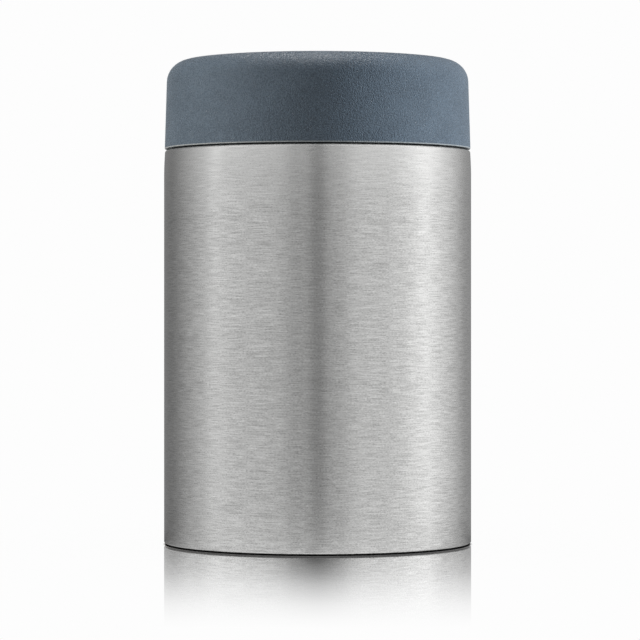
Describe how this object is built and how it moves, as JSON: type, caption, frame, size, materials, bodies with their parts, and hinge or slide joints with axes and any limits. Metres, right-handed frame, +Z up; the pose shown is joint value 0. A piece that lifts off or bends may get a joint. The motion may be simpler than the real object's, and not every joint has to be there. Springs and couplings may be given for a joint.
{
  "type": "insulated food jar",
  "caption": "Round double-walled steel food jar with a screw stopper, a press vent in it and a slate screw lid.",
  "frame": {"origin": "centre of the resting plane, under the foot ring", "axes": "+Z up along the jar's axis, front towards -Y"},
  "size_m": [0.085, 0.085, 0.1341],
  "materials": {
    "brushed_shell": "brushed round the body",
    "inner_steel": "electropolished satin",
    "base_steel": "spun satin",
    "hidden_steel": "plain mill finish",
    "spring_wire": "drawn stainless wire",
    "copper_foil": "bright copper foil",
    "getter_metal": "pressed powder",
    "seal_glass": "opaque melted glass",
    "slate_plastic": "fine satin grain",
    "liner_plastic": "satin",
    "stopper_plastic": "satin",
    "silicone": "translucent grey silicone",
    "dark_silicone": "matt dark silicone",
    "foam": "closed-cell foam"
  },
  "bodies": {
    "jar": {"outer_shell": "brushed_shell", "inner_vessel": "inner_steel", "heat_foil": "copper_foil", "vacuum_base": "hidden_steel", "vacuum_plug": "seal_glass", "base_cover": "base_steel", "foot_ring": "dark_silicone", "getter_clip": "hidden_steel", "getter_pellet": "getter_metal"},
    "stopper_ring": {"stopper_seal": "silicone"},
    "stopper": {"stopper_body": "stopper_plastic", "stopper_cover": "stopper_plastic", "stopper_foam": "foam", "vent_spring": "spring_wire"},
    "vent": {"vent_button": "slate_plastic", "vent_stem": "stopper_plastic", "valve_seal": "silicone"},
    "lid_ring": {"lid_seal": "dark_silicone"},
    "lid": {"lid_shell": "slate_plastic", "lid_liner": "liner_plastic", "lid_foam": "foam"}
  },
  "joints": [
    {"name": "stopper_rise", "type": "slide", "parent": "jar", "child": "stopper_ring", "axis": [0, 0, 1], "range_m": [0, 0.024]},
    {"name": "stopper_turn", "type": "hinge", "parent": "stopper_ring", "child": "stopper", "pos_m": [0, 0, 0.1184], "axis": [0, 0, 1], "range_deg": [0, 540]},
    {"name": "lid_rise", "type": "slide", "parent": "stopper", "child": "lid_ring", "axis": [0, 0, 1], "range_m": [0, 0.024]},
    {"name": "lid_turn", "type": "hinge", "parent": "lid_ring", "child": "lid", "pos_m": [0, 0, 0.1088], "axis": [0, 0, 1], "range_deg": [0, 540]},
    {"name": "vent_press", "type": "slide", "parent": "stopper", "child": "vent", "axis": [0, 0, -1], "range_m": [0, 0.002], "stiffness_N_per_m": 400, "springref_m": -0.002, "deforming": ["vent_spring"]}
  ],
  "couplings": [
    {"joint": "stopper_turn", "follows": "stopper_rise", "rad_per_m": 392.7},
    {"joint": "lid_turn", "follows": "lid_rise", "rad_per_m": 392.7}
  ]
}
